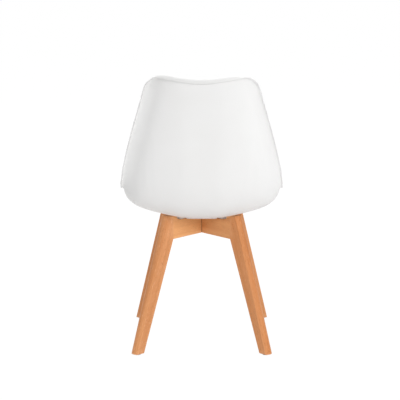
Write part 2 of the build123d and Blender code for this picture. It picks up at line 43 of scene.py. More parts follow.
# ---------------------------------------------------------------- camera
# The photograph looks at the chair from straight behind and a little above.
CAMERA_PLACE = (0.0, 4.873, 1.492)
LOOKING_DOWN = 12.42  # degrees
LENS, SENSOR = 151.2, 36.0  # millimetres
CAMERA_SHIFT = -0.00425

camera_data = bpy.data.cameras.new("camera")
camera = bpy.data.objects.new("camera", camera_data)
scene.collection.objects.link(camera)
camera.location = CAMERA_PLACE
camera.rotation_euler = (math.radians(90.0 - LOOKING_DOWN), 0.0, math.radians(180.0))
camera_data.sensor_width = SENSOR
camera_data.lens = LENS
camera_data.shift_x = CAMERA_SHIFT
scene.camera = camera


# ---------------------------------------------------------------- shader helpers
class Nodes:
    """A few short calls for building one material's node tree."""

    def __init__(self, name, colour=(0.8, 0.8, 0.8)):
        self.material = bpy.data.materials.new(name)
        self.material.use_nodes = True
        self.material.diffuse_color = (*colour, 1.0)
        self.tree = self.material.node_tree
        self.tree.nodes.clear()
        self.output = self.add("ShaderNodeOutputMaterial")
        self.shader = self.add("ShaderNodeBsdfPrincipled")
        self.link(self.shader.outputs[0], self.output.inputs["Surface"])
        self.place = self.add("ShaderNodeTexCoord").outputs["Object"]

    def add(self, kind, **values):
        """New node with some of its settings."""
        node = self.tree.nodes.new(kind)
        for key, value in values.items():
            setattr(node, key, value)
        return node

    def link(self, source, target):
        self.tree.links.new(source, target)

    def put(self, target, value):
        """Link a socket to another's output, or set it to a plain value."""
        if hasattr(value, "is_output"):
            self.link(value, target)
        else:
            target.default_value = value

    def math(self, operation, first, second):
        node = self.add("ShaderNodeMath", operation=operation)
        self.put(node.inputs[0], first)
        self.put(node.inputs[1], second)
        return node.outputs[0]

    def dot(self, vector, direction):
        """How far a vector reaches along a direction."""
        node = self.add("ShaderNodeVectorMath", operation="DOT_PRODUCT")
        self.put(node.inputs[0], vector)
        node.inputs[1].default_value = direction
        return node.outputs["Value"]

    def combine(self, x, y, z):
        node = self.add("ShaderNodeCombineXYZ")
        for socket, value in zip(node.inputs, (x, y, z)):
            self.put(socket, value)
        return node.outputs[0]

    def noise(self, vector, scale=1.0, detail=2.0, roughness=0.5, distortion=0.0):
        node = self.add("ShaderNodeTexNoise")
        self.put(node.inputs["Vector"], vector)
        node.inputs["Scale"].default_value = scale
        node.inputs["Detail"].default_value = detail
        node.inputs["Roughness"].default_value = roughness
        node.inputs["Distortion"].default_value = distortion
        return node.outputs["Fac"]

    def ramp(self, value, stops):
        """Colour by a value from 0 to 1, through (position, colour) stops."""
        node = self.add("ShaderNodeValToRGB")
        self.put(node.inputs[0], value)
        elements = node.color_ramp.elements
        while len(elements) < len(stops):
            elements.new(0.5)
        for element, (position, colour) in zip(elements, stops):
            element.position = position
            element.color = (*colour, 1.0)
        return node.outputs["Color"]

    def grey(self, value, low, high, start=0.0, end=1.0):
        """Map a value from start..end to low..high, clamped."""
        node = self.add("ShaderNodeMapRange")
        self.put(node.inputs["Value"], value)
        node.inputs["From Min"].default_value = start
        node.inputs["From Max"].default_value = end
        node.inputs["To Min"].default_value = low
        node.inputs["To Max"].default_value = high
        return node.outputs["Result"]

    def mix(self, factor, first, second, blend="MIX"):
        node = self.add("ShaderNodeMix", data_type="RGBA", blend_type=blend)
        self.put(node.inputs[0], factor)
        self.put(node.inputs[6], first if hasattr(first, "is_output") else (*first, 1.0))
        self.put(node.inputs[7], second if hasattr(second, "is_output") else (*second, 1.0))
        return node.outputs[2]

    def bump(self, *layers):
        """Layers of (height, strength, distance in metres), one on another."""
        normal = None
        for height, strength, distance in layers:
            node = self.add("ShaderNodeBump")
            node.inputs["Strength"].default_value = strength
            node.inputs["Distance"].default_value = distance
            self.link(height, node.inputs["Height"])
            if normal is not None:
                self.link(normal, node.inputs["Normal"])
            normal = node.outputs[0]
        self.link(normal, self.shader.inputs["Normal"])

    def set(self, **values):
        """Set or link the shader's sockets, named with _ for a space."""
        for key, value in values.items():
            self.put(self.shader.inputs[key.replace("_", " ")], value)


def coordinates(mesh):
    """A mesh's points, one row each."""
    values = np.empty(len(mesh.vertices) * 3)
    mesh.vertices.foreach_get("co", values)
    return values.reshape(-1, 3)


def set_coordinates(mesh, values):
    mesh.vertices.foreach_set("co", np.asarray(values, dtype=np.float64).reshape(-1))
    mesh.update()


def paint(piece, material):
    """Give a piece one material in all its slots."""
    piece.data.materials.clear()
    piece.data.materials.append(material)


# ---------------------------------------------------------------- materials
def make_shell_plastic():
    """Moulded white polypropylene: satin, with a fine spark-eroded texture and flow marks."""
    n = Nodes("shell_polypropylene", (0.88, 0.88, 0.875))
    flow = n.noise(n.place, scale=3.2, detail=3.0, roughness=0.55, distortion=0.4)
    speck = n.noise(n.place, scale=160.0, detail=2.0)
    colour = n.mix(n.grey(flow, 0.0, 1.0, 0.3, 0.7), (0.835, 0.832, 0.825), (0.865, 0.865, 0.862))
    colour = n.mix(n.grey(speck, 0.0, 0.22, 0.62, 0.8), colour, (0.80, 0.795, 0.785))
    wear = n.add("ShaderNodeNewGeometry").outputs["Pointiness"]
    colour = n.mix(n.grey(wear, 0.0, 0.25, 0.53, 0.60), colour, (0.90, 0.90, 0.895))
    grain = n.noise(n.place, scale=1500.0, detail=3.0, roughness=0.6)
    ripple = n.noise(n.place, scale=11.0, detail=1.0)
    gloss = n.noise(n.place, scale=26.0, detail=3.0)
    n.set(Base_Color=colour, Roughness=n.grey(gloss, 0.40, 0.50, 0.3, 0.7), IOR=1.49)
    n.shader.inputs["Specular IOR Level"].default_value = 0.42
    n.bump((ripple, 0.12, 0.0006), (grain, 0.16, 0.00012))
    return n.material


def make_beech(name, along, seed, raw=False, tone=(1.0, 1.0, 1.0)):
    """Lacquered beech with its grain along one direction and a tone of its board's colour and painted
    light and shade; raw has no coat.
    """
    n = Nodes(name, (0.72, 0.42, 0.22))
    along = Vector(along).normalized()
    across = along.cross(Vector((0.0, 0.0, 1.0)))
    across = across.normalized() if across.length > 0.2 else Vector((1.0, 0.0, 0.0))
    third = along.cross(across).normalized()
    a, b, c = n.dot(n.place, along), n.dot(n.place, across), n.dot(n.place, third)

    def grain(lengthwise, crosswise, third_way, detail, roughness=0.5, distortion=0.0, shift=0.0):
        """Noise with its own scale in each of the wood's three directions."""
        vector = n.combine(
            n.math("ADD", n.math("MULTIPLY", a, lengthwise), seed + shift),
            n.math("MULTIPLY", b, crosswise),
            n.math("MULTIPLY", c, third_way),
        )
        return n.noise(vector, 1.0, detail, roughness, distortion)

    rings = grain(1.3, 30.0, 46.0, 3.0, 0.45, 0.7)
    bands = grain(4.0, 150.0, 190.0, 3.0, 0.55, 0.3, shift=7.0)
    fibres = grain(30.0, 900.0, 900.0, 4.0, 0.65, shift=3.0)
    flecks = grain(95.0, 620.0, 560.0, 3.0, 0.6, shift=11.0)
    rays = grain(70.0, 330.0, 420.0, 2.0, 0.5, shift=19.0)
    patches = grain(4.0, 9.0, 9.0, 2.0, 0.5, shift=23.0)
    if raw:
        light, middle, dark = (0.74, 0.53, 0.34), (0.68, 0.46, 0.28), (0.58, 0.37, 0.21)
        pore, ray = (0.36, 0.20, 0.10), (0.80, 0.62, 0.44)
    else:
        light, middle, dark = (0.80, 0.380, 0.155), (0.73, 0.310, 0.108), (0.61, 0.228, 0.068)
        pore, ray = (0.36, 0.115, 0.030), (0.92, 0.530, 0.280)
    contact_shade, contact_shade_reach = (0.10, 0.035, 0.015), 0.006
    colour = n.ramp(rings, [(0.28, dark), (0.46, middle), (0.62, light), (0.80, middle)])
    colour = n.mix(n.grey(bands, 0.0, 0.40, 0.45, 0.75), colour, dark)
    colour = n.mix(n.grey(patches, 0.0, 0.30, 0.4, 0.75), colour, light)
    darkest = tuple(0.75 * value for value in dark)
    colour = n.mix(n.grey(fibres, 0.0, 0.35, 0.52, 0.80), colour, darkest)
    colour = n.mix(n.grey(flecks, 0.0, 0.70, 0.60, 0.72), colour, pore)
    colour = n.mix(n.grey(rays, 0.0, 0.45, 0.60, 0.76), colour, ray)
    # Painted light and shade: the tone multiplied in makes a lit piece lighter and a shaded one
    # darker, besides its board's own colour.
    colour = n.mix(1.0, colour, tone, blend="MULTIPLY")
    wear = n.add("ShaderNodeNewGeometry").outputs["Pointiness"]
    colour = n.mix(n.grey(wear, 0.0, 0.35, 0.53, 0.60), colour, ray)
    # Painted shade: wood within 6 mm of another surface is darkened towards near black, for the
    # contact shadow in the gap under the shell and in the joints.
    contact_shade_occlusion = n.add("ShaderNodeAmbientOcclusion", samples=8)
    contact_shade_occlusion.inputs["Distance"].default_value = contact_shade_reach
    colour = n.mix(n.grey(contact_shade_occlusion.outputs["AO"], 0.85, 0.0, 0.30, 0.85), colour, contact_shade)
    n.set(Base_Color=colour, Roughness=n.grey(fibres, 0.38, 0.52, 0.35, 0.75), IOR=1.5)
    n.shader.inputs["Specular IOR Level"].default_value = 0.12
    if not raw:
        n.shader.inputs["Coat Weight"].default_value = 0.04
        n.shader.inputs["Coat Roughness"].default_value = 0.22
    n.bump((bands, 0.10, 0.0003), (fibres, 0.22, 0.00018), (flecks, 0.20, 0.0002))
    return n.material


def make_leather():
    """White PU leather with a fine pebbled grain, soft creases and a faint sheen."""
    n = Nodes("cover_pu_leather", (0.86, 0.86, 0.85))
    warp = n.noise(n.place, scale=140.0, detail=2.0)
    pebble = n.add("ShaderNodeTexVoronoi", feature="DISTANCE_TO_EDGE")
    n.link(n.place, pebble.inputs["Vector"])
    pebble.inputs["Scale"].default_value = 620.0
    pebble.inputs["Randomness"].default_value = 0.95
    cells = n.grey(pebble.outputs["Distance"], 0.0, 1.0, 0.0, 0.16)
    crease = n.noise(n.place, scale=22.0, detail=4.0, roughness=0.6, distortion=1.4)
    tone = n.noise(n.place, scale=7.0, detail=3.0)
    colour = n.mix(n.grey(tone, 0.0, 1.0, 0.3, 0.7), (0.80, 0.80, 0.79), (0.85, 0.85, 0.845))
    # Painted shade: the grooves between the pebbles, at the cells' edges, are painted darker.
    colour = n.mix(n.grey(cells, 0.20, 0.0, 0.0, 0.8), colour, (0.62, 0.61, 0.59))
    wear = n.add("ShaderNodeNewGeometry").outputs["Pointiness"]
    colour = n.mix(n.grey(wear, 0.0, 0.20, 0.52, 0.60), colour, (0.88, 0.88, 0.875))
    n.set(Base_Color=colour, Roughness=n.grey(warp, 0.40, 0.54, 0.3, 0.7))
    n.shader.inputs["Sheen Weight"].default_value = 0.06
    n.bump((crease, 0.18, 0.0012), (cells, 0.30, 0.00022), (warp, 0.08, 0.0003))
    return n.material


def make_thread():
    """Twisted polyester sewing thread."""
    n = Nodes("sewing_thread", (0.8, 0.8, 0.78))
    twist = n.noise(n.place, scale=1400.0, detail=2.0)
    colour = n.mix(n.grey(twist, 0.0, 1.0, 0.35, 0.65), (0.70, 0.70, 0.68), (0.84, 0.84, 0.82))
    n.set(Base_Color=colour, Roughness=0.7)
    n.shader.inputs["Sheen Weight"].default_value = 0.2
    n.bump((twist, 0.4, 0.0002))
    return n.material


def make_metal(name, colour, roughness):
    """Plated or machined metal with fine scratches, tarnish and brighter worn edges."""
    n = Nodes(name, colour)
    stain = n.noise(n.place, scale=70.0, detail=4.0, roughness=0.6)
    stretched = n.combine(
        n.dot(n.place, (1800, 300, 0)),
        n.dot(n.place, (0, 1800, 300)),
        n.dot(n.place, (300, 0, 900)),
    )
    scratch = n.noise(stretched, scale=1.0, detail=3.0)
    dull = tuple(0.72 * value for value in colour)
    tone = n.mix(n.grey(stain, 0.0, 0.8, 0.4, 0.75), colour, dull)
    wear = n.add("ShaderNodeNewGeometry").outputs["Pointiness"]
    bright = tuple(min(1.0, 1.2 * value) for value in colour)
    tone = n.mix(n.grey(wear, 0.0, 0.5, 0.52, 0.60), tone, bright)
    n.set(Base_Color=tone, Roughness=n.grey(stain, roughness - 0.06, roughness + 0.12, 0.3, 0.7))
    n.shader.inputs["Metallic"].default_value = 1.0
    n.bump((scratch, 0.3, 0.00008))
    return n.material


def make_plain_plastic(name, colour, roughness):
    """Moulded plastic with a fine grain and faint scuffs."""
    n = Nodes(name, colour)
    tone = n.noise(n.place, scale=45.0, detail=4.0, roughness=0.6)
    grain = n.noise(n.place, scale=900.0, detail=3.0)
    darker = tuple(0.85 * value for value in colour)
    shade = n.mix(n.grey(tone, 0.0, 1.0, 0.35, 0.7), colour, darker)
    n.set(Base_Color=shade, Roughness=n.grey(tone, roughness - 0.05, roughness + 0.1, 0.3, 0.7))
    n.bump((grain, 0.2, 0.00015))
    return n.material


def main_direction(name):
    """Long axis of a CAD node."""
    points = coordinates(nodes[name].data)
    spread = points - points.mean(0)
    values, vectors = np.linalg.eigh(spread.T @ spread)
    return vectors[:, np.argmax(values)]


shell_plastic = make_shell_plastic()
leather = make_leather()
thread = make_thread()
zinc = make_metal("zinc_plated_steel", (0.60, 0.60, 0.58), 0.34)
nail_steel = make_metal("nail_steel", (0.55, 0.55, 0.55), 0.38)
screw_steel = make_metal("screw_steel", (0.62, 0.62, 0.60), 0.30)
brass = make_metal("insert_brass", (0.72, 0.55, 0.28), 0.36)
nylon = make_plain_plastic("glide_nylon", (0.80, 0.79, 0.76), 0.5)
board_plastic = make_plain_plastic("board_plastic", (0.05, 0.05, 0.055), 0.55)

paint(nodes["seat_shell"], shell_plastic)
paint(nodes["cushion_board"], board_plastic)
paint(nodes["cushion_screws"], screw_steel)
paint(nodes["frame_bolts"], zinc)
paint(nodes["flat_washers"], zinc)
paint(nodes["lock_washers"], zinc)
paint(nodes["threaded_inserts"], brass)
paint(nodes["foot_glides"], nylon)
paint(nodes["glide_nails"], nail_steel)
paint(nodes["leg_dowels"], make_beech("beech_dowels", (1.0, 1.0, 0.0), 71.0, raw=True))

# Each piece is sawn from its own board. The tones are read off the photograph; besides the boards'
# own colour they hold painted light and shade, lighter and paler on lit pieces and darker on
# shaded ones. Those of the front legs are guessed.
BOARD_AND_PAINTED_LIGHT_TONES = {
    "leg_front_left": (0.88, 0.82, 0.84),
    "leg_front_right": (0.90, 0.85, 0.86),
    "leg_rear_left": (1.05, 1.12, 1.36),
    "leg_rear_right": (0.94, 0.90, 0.96),
    "cross_rail_lower": (1.14, 1.20, 1.16),
    "cross_rail_upper": (0.92, 0.83, 0.68),
}
SEED_STEP = 3.7
for number, (name, tone) in enumerate(BOARD_AND_PAINTED_LIGHT_TONES.items()):
    beech = make_beech("beech_" + name, main_direction(name), SEED_STEP * number, tone=tone)
    paint(nodes[name], beech)


# ---------------------------------------------------------------- shell with its rim unrolled
# The CAD shell has one hook section all round. On the real one the hook opens out from the ears
# downwards, and along the sides only a short lip is left. The shell here is the CAD mesh with
# the rim's roll and skirt opened by that much. Millimetres, as in the part's source: w runs
# along the centre line from the crossing and u across it, from 0 to 1 where the rim starts.
MM = 0.001
SHELL_START = (0.0, 389.0)
BACK_LENGTH = 590.0
FRONT_LENGTH = 266.0
SEAT_TO_BACK = (60.0, 225.0, 81.5)
BACK_FLARE = (330.0, 260.0, -5.0)
SEAT_CLIMB = (50.0, 120.0, -17.0)
FRONT_ROLL = (170.0, 100.0, 30.0)
FLAT_HALF_WIDTH = 46.0
HALF_WIDTHS = ((-266, 188), (-180, 206), (-60, 220), (60, 224), (130, 224.5), (300, 207), (600, 135))
EDGE_RISES = ((-266, 8), (-180, 46), (-60, 89), (60, 96), (130, 86), (200, 70), (300, 56), (600, 30))
WALL_ANGLES = ((-266, 30), (-180, 55), (-60, 74), (60, 78), (130, 80), (200, 58), (300, 42), (600, 28))
START_HANDLE, MIDDLE_HANDLE, MIDDLE_RISE, CORNER_RISE = 0.14, 0.71, 0.31, 0.305
EAR_WIDTH, EAR_LENGTH, TOP_DIP = 0.30, 36.0, 7.5
TOE_WIDTH, TOE_LENGTH, FRONT_BOW = 0.55, 110.0, 20.0
RIM_BREAKS = (0.0, 0.10, 0.17, 0.74, 0.90, 1.0)
FLARE_RADIUS, FLARE_ANGLE = 24.0, math.radians(24.0)
ROLL_RADIUS, ROLL_ANGLE, SKIRT_LENGTH, HALF_WALL = 3.6, math.radians(200.0), 9.0, 2.0


def graph(points, place):
    """Value at a place on the smooth curve through (place, value) points."""
    place = min(points[-1][0], max(points[0][0], place))
    last = len(points) - 1
    here = max(number for number in range(last) if points[number][0] <= place)
    before, start, end, after = (points[min(last, max(0, here + shift))] for shift in (-1, 0, 1, 2))
    span = end[0] - start[0]
    t = (place - start[0]) / span
    leave = span * (end[1] - before[1]) / (end[0] - before[0])
    arrive = span * (after[1] - start[1]) / (after[0] - start[0])
    return (start[1] * (1 + 2 * t) * (1 - t) ** 2 + leave * t * (1 - t) ** 2
            + end[1] * t**2 * (3 - 2 * t) - arrive * t**2 * (1 - t))


def ease(share):
    """Smooth step from 0 to 1."""
    share = min(1.0, max(0.0, share))
    return share**2 * (3 - 2 * share)


def turned(distance, turn):
    """Angle reached at a distance, in a turn of (start, length, degrees)."""
    start, length, angle = turn
    return math.radians(angle) * ease((distance - start) / length)


def slope(w):
    """Angle of the centre line from level."""
    if w < 0:
        return turned(-w, SEAT_CLIMB) + turned(-w, FRONT_ROLL)
    return turned(w, SEAT_TO_BACK) + turned(w, BACK_FLARE)


def make_centre_line(step=2.0, spare=30.0):
    """Points of the centre line by their number of steps from the crossing."""
    line = {0: SHELL_START}
    for direction, length in ((1, BACK_LENGTH), (-1, FRONT_LENGTH)):
        for number in range(int((length + spare) / step)):
            y, z = line[direction * number]
            angle = slope(direction * (number + 0.5) * step)
            line[direction * (number + 1)] = (
                y + direction * step * math.cos(angle), z + direction * step * math.sin(angle))
    return line, step


CENTRE_LINE, CENTRE_STEP = make_centre_line()


def form(u, w):
    """Point of the shell's middle surface."""
    half_width, rise = graph(HALF_WIDTHS, w), graph(EDGE_RISES, w)
    x, height = abs(u) * half_width, 0.0
    if x > FLAT_HALF_WIDTH:
        span = half_width - FLAT_HALF_WIDTH
        wall_angle = math.radians(graph(WALL_ANGLES, w))
        corner_x = half_width - (1 - CORNER_RISE) * rise / math.tan(wall_angle)
        handles = (
            (FLAT_HALF_WIDTH, 0.0), (FLAT_HALF_WIDTH + START_HANDLE * span, 0.0),
            (FLAT_HALF_WIDTH + MIDDLE_HANDLE * span, MIDDLE_RISE * rise),
            (corner_x, CORNER_RISE * rise), (half_width, rise),
        )
        t = (x - FLAT_HALF_WIDTH) / span
        weights = [math.comb(4, number) * t**number * (1 - t) ** (4 - number) for number in range(5)]
        x = sum(weight * handle[0] for weight, handle in zip(weights, handles))
        height = sum(weight * handle[1] for weight, handle in zip(weights, handles))
    number = int(w // CENTRE_STEP)
    share = w / CENTRE_STEP - number
    (start_y, start_z), (end_y, end_z) = CENTRE_LINE[number], CENTRE_LINE[number + 1]
    y, z = start_y + share * (end_y - start_y), start_z + share * (end_z - start_z)
    angle = slope(w)
    return Vector((math.copysign(x, u), y - height * math.sin(angle), z + height * math.cos(angle)))


def form_normal(u, w):
    """Unit normal of the middle surface, on the sitter's side."""
    across = form(u + 0.002, w) - form(u - 0.002, w)
    along = form(u, w + 0.5) - form(u, w - 0.5)
    return across.cross(along).normalized()


def rim_line(share):
    """(u, w) where the rim starts: share 0 is the middle of the top, 1 the middle of the front."""
    ear_end, toe_start = BACK_LENGTH - EAR_LENGTH, TOE_LENGTH - FRONT_LENGTH
    run = max(number for number in range(5) if RIM_BREAKS[number] <= min(share, 0.9999))
    part = (share - RIM_BREAKS[run]) / (RIM_BREAKS[run + 1] - RIM_BREAKS[run])
    turn = part * math.pi / 2
    if run == 0:
        u, w = part * (1 - EAR_WIDTH), BACK_LENGTH
    elif run == 1:
        u, w = 1 - EAR_WIDTH * (1 - math.sin(turn)), BACK_LENGTH - EAR_LENGTH * (1 - math.cos(turn))
    elif run == 2:
        u, w = 1.0, ear_end + part * (toe_start - ear_end)
    elif run == 3:
        u, w = 1 - TOE_WIDTH * (1 - math.cos(turn)), toe_start - TOE_LENGTH * math.sin(turn)
    else:
        u, w = (1 - part) * (1 - TOE_WIDTH), -FRONT_LENGTH
    if w > 0:
        return u, w - TOP_DIP * (1 - ease(u / 0.8)) * ease((w - ear_end) / 60 + 1)
    return u, w + FRONT_BOW * ease(u) * ease((toe_start - w) / 60 + 1)


def rim_point(share):
    """Point where the rim starts; shares past either end lie on the mirrored half."""
    if 0 <= share <= 1:
        return form(*rim_line(share))
    point = form(*rim_line(-share if share < 0 else 2 - share))
    return Vector((-point.x, point.y, point.z))


def rim_frames(count=900):
    """Start of the rim, directions outward and away from the sitter, and the share, in rows."""
    rows = []
    for number in range(-8, count + 9):
        share = number / count
        inside = min(1.0, max(0.0, share))
        up = form_normal(*rim_line(inside))
        along = rim_point(inside + 0.002) - rim_point(inside - 0.002)
        outward = up.cross(along).normalized()
        start = rim_point(share)
        if share != inside:
            mirrored = -share if share < 0 else 2 - share
            up = form_normal(*rim_line(mirrored))
            along = rim_point(mirrored + 0.002) - rim_point(mirrored - 0.002)
            outward = up.cross(along).normalized()
            up.x, outward.x = -up.x, -outward.x
        rows.append((*start, *outward, *(-up), share))
    return np.array(rows)


# The hook's end angle in degrees, and the share of the skirt that is left, by share of the rim.
MOST_OPEN = 88
HOOK_ANGLES = (
    (0.0, 200), (0.09, 200), (0.145, 100), (0.38, MOST_OPEN), (0.52, 135), (0.75, 180), (1.0, 200))
SKIRTS_LEFT = (
    (0.0, 1.0), (0.09, 0.9), (0.14, 0.04), (0.38, 0.04), (0.52, 0.2), (0.75, 0.8), (1.0, 1.0))
# Along the sides the wall itself also bends outwards before the rim: by how much away from the
# sitter, how wide the bend is, and how far the rim moves out with it.
BENDS = ((0.0, 0.0), (0.09, 0.0), (0.19, 5.0), (0.36, 5.0), (0.49, 0.0), (1.0, 0.0))
BEND_WIDTH = 26.0
SHIFTS = ((0.0, 0.0), (0.11, 0.0), (0.17, -0.8), (0.28, 2.4), (0.38, 3.6), (0.49, 0.0), (1.0, 0.0))
# An opened lip thins to its end over this length, by this share at most.
LIP_ROUND, LIP_THIN = 2.0, 0.35
# Points of the shell farther than this from the start of the rim stay as they are.
RIM_REACH = 32.0


def open_rim(points, corner_normals, corner_points):
    """New points, and new normals at the corners, with the hook opened below the ears."""
    frames = rim_frames()
    side = np.where(points[:, 0] < 0, -1.0, 1.0)
    spots = points / MM
    spots[:, 0] *= side
    near = np.zeros(len(spots), dtype=int)
    gap = np.zeros(len(spots))
    for first in range(0, len(spots), 4000):
        apart = np.linalg.norm(spots[first:first + 4000, None] - frames[None, ::4, :3], axis=2)
        near[first:first + 4000] = apart.argmin(1) * 4
        gap[first:first + 4000] = apart.min(1)
    chosen = np.where(gap < RIM_REACH)[0]
    spot, place = spots[chosen], near[chosen].astype(float)

    def frame_at(place):
        """Rim start, outward, away, step to the next row, and share, at places between rows."""
        low = np.clip(place.astype(int), 0, len(frames) - 2)
        share = (place - low)[:, None]
        row = frames[low] * (1 - share) + frames[low + 1] * share
        step = frames[low + 1][:, :3] - frames[low][:, :3]
        outward = row[:, 3:6] / np.linalg.norm(row[:, 3:6], axis=1, keepdims=True)
        away = row[:, 6:9] / np.linalg.norm(row[:, 6:9], axis=1, keepdims=True)
        return row[:, :3], outward, away, step, row[:, 9]

    # slide each point's place along the rim until it lies straight across from its frame
    for _ in range(10):
        start, outward, away, step, _ = frame_at(place)
        length = np.linalg.norm(step, axis=1)
        ahead = np.cross(outward, away)
        ahead *= np.sign((ahead * step).sum(1, keepdims=True))
        move = ((spot - start) * ahead).sum(1) / (1.3 * length)
        place = np.clip(place + np.clip(move, -6, 6), 0.0, len(frames) - 1.001)
    start, outward, away, _, share = frame_at(place)
    out = ((spot - start) * outward).sum(1)
    back = ((spot - start) * away).sum(1)
    along = (spot - start) - out[:, None] * outward - back[:, None] * away

    # where each point lies in the CAD hook's section: on the roll, on the skirt or before both
    middle = np.array([
        (FLARE_RADIUS - ROLL_RADIUS) * math.sin(FLARE_ANGLE),
        FLARE_RADIUS * (1 - math.cos(FLARE_ANGLE)) + ROLL_RADIUS * math.cos(FLARE_ANGLE),
    ])
    turn = np.arctan2(out - middle[0], middle[1] - back)
    turn = (turn + math.pi / 2) % (2 * math.pi) - math.pi / 2
    radius = np.hypot(out - middle[0], back - middle[1])
    skirt_way = np.array([math.cos(ROLL_ANGLE), math.sin(ROLL_ANGLE)])
    skirt_side = np.array([math.sin(ROLL_ANGLE), -math.cos(ROLL_ANGLE)])
    from_end = np.stack([out, back], 1) - middle - ROLL_RADIUS * skirt_side
    reach, beside = from_end @ skirt_way, from_end @ skirt_side
    nearest_wall = HALF_WALL + 0.6 + 0.13 * (SKIRT_LENGTH - reach)
    in_skirt = (reach > 0) & (reach < SKIRT_LENGTH + 2.0)
    in_skirt &= (beside > -nearest_wall) & (beside < 5.0)
    in_roll = ~in_skirt & (turn > FLARE_ANGLE) & (turn < ROLL_ANGLE + 0.1)
    in_roll &= radius < ROLL_RADIUS + 5.0
    moved = in_roll | in_skirt

    # the same point on the opened hook
    share = np.clip(np.where(share < 0, -share, np.where(share > 1, 2 - share, share)), 0, 1)
    shares = np.linspace(0, 1, 401)
    end = np.radians(np.interp(share, shares, [graph(HOOK_ANGLES, value) for value in shares]))
    skirt_kept = np.interp(share, shares, [graph(SKIRTS_LEFT, value) for value in shares])
    opening = (ROLL_ANGLE - end) / (ROLL_ANGLE - math.radians(MOST_OPEN))
    kept = (end - FLARE_ANGLE) / (ROLL_ANGLE - FLARE_ANGLE)
    new_turn = np.where(in_roll, FLARE_ANGLE + (turn - FLARE_ANGLE) * kept, end)
    roll_left = (end - new_turn) * ROLL_RADIUS + SKIRT_LENGTH * skirt_kept
    left = np.where(in_roll, roll_left, (SKIRT_LENGTH - reach) * skirt_kept)
    near_end = np.clip(1 - left / LIP_ROUND, 0, 1)
    thin = 1 - opening * LIP_THIN * (1 - np.sqrt(np.clip(1 - near_end**2, 0, 1)))
    beyond = np.where(in_roll, radius - ROLL_RADIUS, beside) * thin
    direction = np.stack([np.sin(new_turn), -np.cos(new_turn)], 1)
    tangent = np.stack([np.cos(new_turn), np.sin(new_turn)], 1)
    flat = middle + (ROLL_RADIUS + beyond)[:, None] * direction
    flat = flat + np.where(in_skirt, reach * skirt_kept, 0.0)[:, None] * tangent
    flat[~moved] = np.stack([out, back], 1)[~moved]

    # the wall's bend, which carries the rim with it
    bend = np.interp(share, shares, [graph(BENDS, value) for value in shares])
    part = np.clip(flat[:, 0] / BEND_WIDTH + 1, 0, 1)
    lean = np.arctan(2 * bend * part / BEND_WIDTH)
    past = flat[:, 0] > 0
    tilted = np.stack([
        flat[:, 0] * np.cos(lean) - flat[:, 1] * np.sin(lean),
        flat[:, 0] * np.sin(lean) + flat[:, 1] * np.cos(lean),
    ], 1)
    flat = np.where(past[:, None], tilted, flat)
    shift = np.interp(share, shares, [graph(SHIFTS, value) for value in shares])
    flat = flat + np.stack([shift, bend], 1) * (part**2)[:, None]
    bent = (part > 0) & ((bend > 0) | (shift != 0))
    result = start + flat[:, :1] * outward + flat[:, 1:] * away + along
    result[:, 0] *= side[chosen]
    new_points = points.copy()
    changed = moved | bent
    new_points[chosen[changed]] = result[changed] * MM

    # the normals turn by what the surface under them turned
    swing = np.zeros(len(points))
    opened = np.where(moved, new_turn - np.where(in_roll, turn, ROLL_ANGLE), 0.0)
    swing[chosen] = opened + np.where(bent, lean, 0.0)
    across, behind = np.zeros_like(points), np.zeros_like(points)
    across[chosen], behind[chosen] = outward, away
    across[:, 0] *= side
    behind[:, 0] *= side
    swing, across, behind = swing[corner_points], across[corner_points], behind[corner_points]
    first = (corner_normals * across).sum(1)
    second = (corner_normals * behind).sum(1)
    new_first = first * np.cos(swing) - second * np.sin(swing)
    new_second = first * np.sin(swing) + second * np.cos(swing)
    new_normals = corner_normals + (new_first - first)[:, None] * across
    new_normals += (new_second - second)[:, None] * behind
    new_normals /= np.maximum(np.linalg.norm(new_normals, axis=1, keepdims=True), 1e-9)
    return new_points, new_normals


def make_shell():
    """The shell as it shows: the CAD mesh with its rim opened."""
    mesh = nodes["seat_shell"].data.copy()
    mesh.name = "shell"
    count = len(mesh.loops)
    corner_normals, corner_points = np.empty(count * 3), np.empty(count, dtype=np.int32)
    mesh.corner_normals.foreach_get("vector", corner_normals)
    mesh.loops.foreach_get("vertex_index", corner_points)
    corner_normals = corner_normals.reshape(-1, 3)
    new_points, turned_normals = open_rim(coordinates(mesh), corner_normals, corner_points)
    set_coordinates(mesh, new_points)
    mesh.normals_split_custom_set(turned_normals.tolist())
    piece = bpy.data.objects.new("shell", mesh)
    scene.collection.objects.link(piece)
    paint(piece, shell_plastic)
    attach(piece, "root")
    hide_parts("seat_shell")


make_shell()


# ---------------------------------------------------------------- seat cushion
# The pad is blown up with cloth simulation from the CAD solid, then trimmed where it meets the
# shell and its board, pinched along the seam, and finished with a welt and a row of stitches.
PAD_CELL = 0.005
PAD_SHRINK = 0.0035
PAD_PRESSURE = 4.0
PAD_FRAMES = 20
PAD_CAP = 0.009
CLEAR = 0.0006
SEAM_PINCH, SEAM_WIDTH = 0.0022, 0.006
WELT_RADIUS = 0.0016
STITCH_LENGTH, STITCH_GAP, STITCH_RADIUS = 0.0032, 0.0045, 0.00035
STITCH_INSET = 0.0075


def joined_tree(*names):
    """Search tree over CAD nodes, with points and triangles merged."""
    points, faces = [], []
    for name in names:
        mesh = nodes[name].data
        start = len(points)
        points.extend(vertex.co.copy() for vertex in mesh.vertices)
        faces.extend([start + index for index in polygon.vertices] for polygon in mesh.polygons)
    return BVHTree.FromPolygons(points, faces)


def apply_modifiers(piece):
    """Replace a piece's mesh by its evaluated one and drop the modifiers."""
    graph = bpy.context.evaluated_depsgraph_get()
    made = bpy.data.meshes.new_from_object(piece.evaluated_get(graph))
    piece.modifiers.clear()
    piece.data = made


def normals(mesh):
    """A mesh's normals at its points, one row each."""
    values = np.empty(len(mesh.vertices) * 3)
    mesh.vertex_normals.foreach_get("vector", values)
    return values.reshape(-1, 3)


